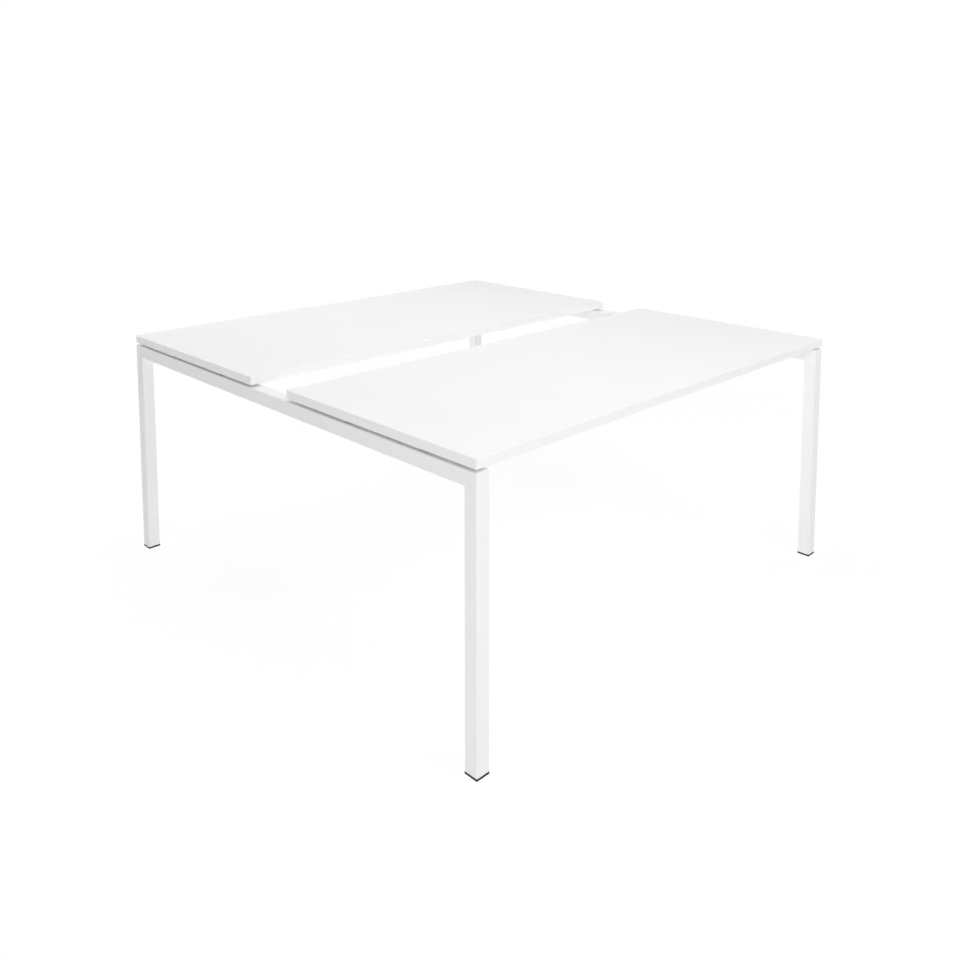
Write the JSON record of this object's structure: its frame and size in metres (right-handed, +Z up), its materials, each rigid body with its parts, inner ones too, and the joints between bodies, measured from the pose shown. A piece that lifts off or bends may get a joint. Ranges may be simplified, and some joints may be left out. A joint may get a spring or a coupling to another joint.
{
  "type": "bench desk",
  "caption": "White bench desk: melamine worktops either side of an open cable slot, on mitred square-tube end frames tied by hidden beams, with square levelling feet.",
  "frame": {"origin": "on the floor under the middle of the desk", "axes": "+X along the worktops from the left end frame to the right one, +Y from the front worktop to the rear one, +Z up"},
  "size_m": [1.6, 1.65, 0.74],
  "materials": {
    "worktop_melamine": "white melamine-faced board, fine matt texture",
    "worktop_edging": "white ABS edging, satin",
    "frame_coating": "white powder coat on steel, satin",
    "zinc_fasteners": "bright zinc plate",
    "inner_steel": "plain turned steel",
    "spacer_plastic": "light grey moulded plastic",
    "plug_plastic": "black moulded plastic",
    "stem_steel": "zinc-plated screw",
    "foot_plastic": "black moulded plastic"
  },
  "bodies": {
    "desk": {"front_worktop_board": "worktop_melamine", "front_worktop_outer_edging": "worktop_edging", "front_worktop_slot_edging": "worktop_edging", "front_worktop_left_edging": "worktop_edging", "front_worktop_right_edging": "worktop_edging", "rear_worktop_board": "worktop_melamine", "rear_worktop_outer_edging": "worktop_edging", "rear_worktop_slot_edging": "worktop_edging", "rear_worktop_left_edging": "worktop_edging", "rear_worktop_right_edging": "worktop_edging", "left_crossbar": "frame_coating", "left_front_leg": "frame_coating", "left_rear_leg": "frame_coating", "right_crossbar": "frame_coating", "right_front_leg": "frame_coating", "right_rear_leg": "frame_coating", "front_outer_beam": "frame_coating", "front_outer_beam_left_plate": "frame_coating", "front_outer_beam_right_plate": "frame_coating", "front_inner_beam": "frame_coating", "front_inner_beam_left_plate": "frame_coating", "front_inner_beam_right_plate": "frame_coating", "rear_inner_beam": "frame_coating", "rear_inner_beam_left_plate": "frame_coating", "rear_inner_beam_right_plate": "frame_coating", "rear_outer_beam": "frame_coating", "rear_outer_beam_left_plate": "frame_coating", "rear_outer_beam_right_plate": "frame_coating", "beam_bolts": "zinc_fasteners", "beam_bolt_washers": "zinc_fasteners", "worktop_screws": "zinc_fasteners", "crossbar_bushes": "inner_steel", "worktop_inserts": "inner_steel", "stem_nuts": "inner_steel", "crossbar_spacers": "spacer_plastic", "beam_spacers": "spacer_plastic", "left_front_leg_plug": "plug_plastic", "left_rear_leg_plug": "plug_plastic", "right_front_leg_plug": "plug_plastic", "right_rear_leg_plug": "plug_plastic"},
    "left_front_foot": {"left_front_foot_pad": "foot_plastic"},
    "left_front_stem": {"left_front_foot_stem": "stem_steel"},
    "left_rear_foot": {"left_rear_foot_pad": "foot_plastic"},
    "left_rear_stem": {"left_rear_foot_stem": "stem_steel"},
    "right_front_foot": {"right_front_foot_pad": "foot_plastic"},
    "right_front_stem": {"right_front_foot_stem": "stem_steel"},
    "right_rear_foot": {"right_rear_foot_pad": "foot_plastic"},
    "right_rear_stem": {"right_rear_foot_stem": "stem_steel"}
  },
  "joints": [
    {"name": "left_front_foot_travel", "type": "slide", "parent": "desk", "child": "left_front_foot", "axis": [0, 0, -1], "range_m": [0, 0.015]},
    {"name": "left_front_stem_turn", "type": "hinge", "parent": "left_front_foot", "child": "left_front_stem", "pos_m": [-0.78, -0.805, 0.03], "axis": [0, 0, -1], "range_deg": [0, 3600]},
    {"name": "left_rear_foot_travel", "type": "slide", "parent": "desk", "child": "left_rear_foot", "axis": [0, 0, -1], "range_m": [0, 0.015]},
    {"name": "left_rear_stem_turn", "type": "hinge", "parent": "left_rear_foot", "child": "left_rear_stem", "pos_m": [-0.78, 0.805, 0.03], "axis": [0, 0, -1], "range_deg": [0, 3600]},
    {"name": "right_front_foot_travel", "type": "slide", "parent": "desk", "child": "right_front_foot", "axis": [0, 0, -1], "range_m": [0, 0.015]},
    {"name": "right_front_stem_turn", "type": "hinge", "parent": "right_front_foot", "child": "right_front_stem", "pos_m": [0.78, -0.805, 0.03], "axis": [0, 0, -1], "range_deg": [0, 3600]},
    {"name": "right_rear_foot_travel", "type": "slide", "parent": "desk", "child": "right_rear_foot", "axis": [0, 0, -1], "range_m": [0, 0.015]},
    {"name": "right_rear_stem_turn", "type": "hinge", "parent": "right_rear_foot", "child": "right_rear_stem", "pos_m": [0.78, 0.805, 0.03], "axis": [0, 0, -1], "range_deg": [0, 3600]}
  ],
  "couplings": [
    {"joint": "left_front_stem_turn", "follows": "left_front_foot_travel", "rad_per_m": 4188.8},
    {"joint": "left_rear_stem_turn", "follows": "left_rear_foot_travel", "rad_per_m": 4188.8},
    {"joint": "right_front_stem_turn", "follows": "right_front_foot_travel", "rad_per_m": 4188.8},
    {"joint": "right_rear_stem_turn", "follows": "right_rear_foot_travel", "rad_per_m": 4188.8}
  ]
}
